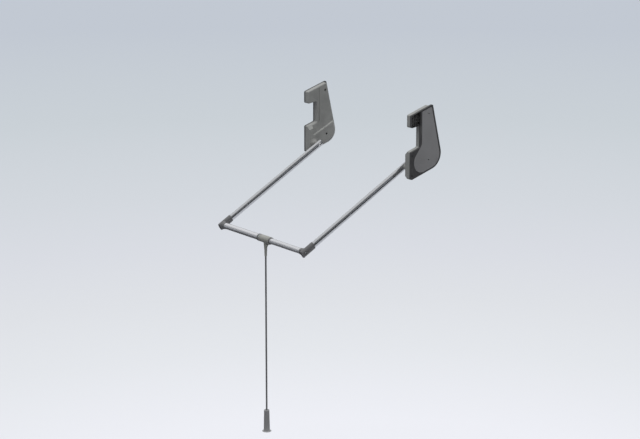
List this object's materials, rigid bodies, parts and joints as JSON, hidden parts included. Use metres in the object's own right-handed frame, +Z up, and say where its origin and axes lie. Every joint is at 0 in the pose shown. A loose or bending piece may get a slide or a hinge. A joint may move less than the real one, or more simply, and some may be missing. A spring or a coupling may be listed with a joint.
{
  "type": "pull down closet rod",
  "caption": "Spring-assisted pull down closet rod: grey wall housings, oval arms, a telescopic hanging rod and a hanging pull handle.",
  "frame": {"origin": "where the pivot axis of the arms meets the left wall face", "axes": "+X from the left wall to the right wall, front (the user) towards -Y, +Z up; arms drawn lowered"},
  "size_m": [0.78, 0.6847, 1.4388],
  "materials": {
    "plate_steel": "satin grey powder coat",
    "shell_black": "fine-grained moulded plastic",
    "cover_grey": "fine-grained moulded plastic",
    "screw_black": "black oxide",
    "bright_steel": "zinc plated",
    "nylon_white": "natural nylon",
    "nylon_grey": "grey nylon",
    "rubber_black": "moulded rubber",
    "gear_steel": "machined",
    "spring_steel": "oiled spring wire",
    "hub_grey": "glass-filled nylon",
    "arm_grey": "smooth satin metallic",
    "elbow_grey": "fine-grained moulded plastic",
    "rod_silver": "satin silver",
    "rod_satin": "satin silver",
    "bracket_grey": "moulded plastic",
    "pull_rod_grey": "satin dark grey",
    "grip_grey": "moulded plastic"
  },
  "bodies": {
    "left_housing": {"left_wall_plate": "plate_steel", "left_back_shell": "shell_black", "left_inner_cover": "cover_grey", "left_case_screws": "screw_black", "left_pivot_axle": "bright_steel", "left_pivot_bolt": "bright_steel", "left_hub_bearing": "nylon_white", "left_stop_pads": "rubber_black", "left_spring_cap": "nylon_white", "left_spring_guide_rod": "bright_steel", "left_lift_spring": "spring_steel"},
    "left_frame": {"left_arm_hub": "hub_grey", "left_stop_disc": "gear_steel", "left_pivot_bush": "nylon_white", "left_pinion": "gear_steel", "left_arm_tube": "arm_grey", "left_arm_end_plug": "elbow_grey", "left_corner_elbow": "elbow_grey", "left_corner_screw": "bright_steel", "left_rod_end_plug": "nylon_white", "outer_rod_tube": "rod_silver", "stop_ring": "elbow_grey", "rod_end_collar": "elbow_grey"},
    "right_frame": {"right_arm_hub": "hub_grey", "right_stop_disc": "gear_steel", "right_pivot_bush": "nylon_white", "right_pinion": "gear_steel", "right_arm_tube": "arm_grey", "right_arm_end_plug": "elbow_grey", "right_corner_elbow": "elbow_grey", "right_corner_screw": "bright_steel", "right_rod_end_plug": "nylon_white", "inner_rod_tube": "rod_satin", "inner_tube_glide": "nylon_white"},
    "right_housing": {"right_wall_plate": "plate_steel", "right_back_shell": "shell_black", "right_inner_cover": "cover_grey", "right_case_screws": "screw_black", "right_pivot_axle": "bright_steel", "right_pivot_bolt": "bright_steel", "right_hub_bearing": "nylon_white", "right_stop_pads": "rubber_black", "right_spring_cap": "nylon_white", "right_spring_guide_rod": "bright_steel", "right_lift_spring": "spring_steel"},
    "left_rack": {"left_rack_plunger": "gear_steel"},
    "right_rack": {"right_rack_plunger": "gear_steel"},
    "handle_swivel": {"swivel_bush": "nylon_grey"},
    "pull_handle": {"bracket_front": "bracket_grey", "bracket_rear": "bracket_grey", "clip_screw": "screw_black", "stem_pin": "bright_steel", "pull_rod": "pull_rod_grey", "grip": "grip_grey", "grip_foot": "grip_grey"}
  },
  "joints": [
    {"name": "lift", "type": "hinge", "parent": "left_housing", "child": "left_frame", "pos_m": [0, 0, 0], "axis": [-1, 0, 0], "range_deg": [0, 135]},
    {"name": "rod_extension", "type": "slide", "parent": "left_frame", "child": "right_frame", "axis": [1, 0, 0], "range_m": [-0.15, 0.05]},
    {"name": "housing_spacing", "type": "slide", "parent": "left_housing", "child": "right_housing", "axis": [1, 0, 0], "range_m": [-0.15, 0.05]},
    {"name": "left_rack_slide", "type": "slide", "parent": "left_housing", "child": "left_rack", "axis": [0, 0, -1], "range_m": [0, 0.02594], "deforming": ["left_lift_spring"]},
    {"name": "right_rack_slide", "type": "slide", "parent": "right_housing", "child": "right_rack", "axis": [0, 0, -1], "range_m": [0, 0.02594], "deforming": ["right_lift_spring"]},
    {"name": "handle_plumb", "type": "hinge", "parent": "left_frame", "child": "handle_swivel", "pos_m": [0.412, -0.52394, -0.3025], "axis": [-1, 0, 0], "range_deg": [-135, 0]},
    {"name": "handle_swing", "type": "hinge", "parent": "handle_swivel", "child": "pull_handle", "pos_m": [0.412, -0.52394, -0.3025], "axis": [-1, 0, 0], "range_deg": [-30, 30]}
  ],
  "couplings": [
    {"joint": "housing_spacing", "follows": "rod_extension", "ratio": 1},
    {"joint": "left_rack_slide", "follows": "lift", "m_per_rad": 0.011},
    {"joint": "right_rack_slide", "follows": "lift", "m_per_rad": 0.011},
    {"joint": "handle_plumb", "follows": "lift", "ratio": -1}
  ]
}
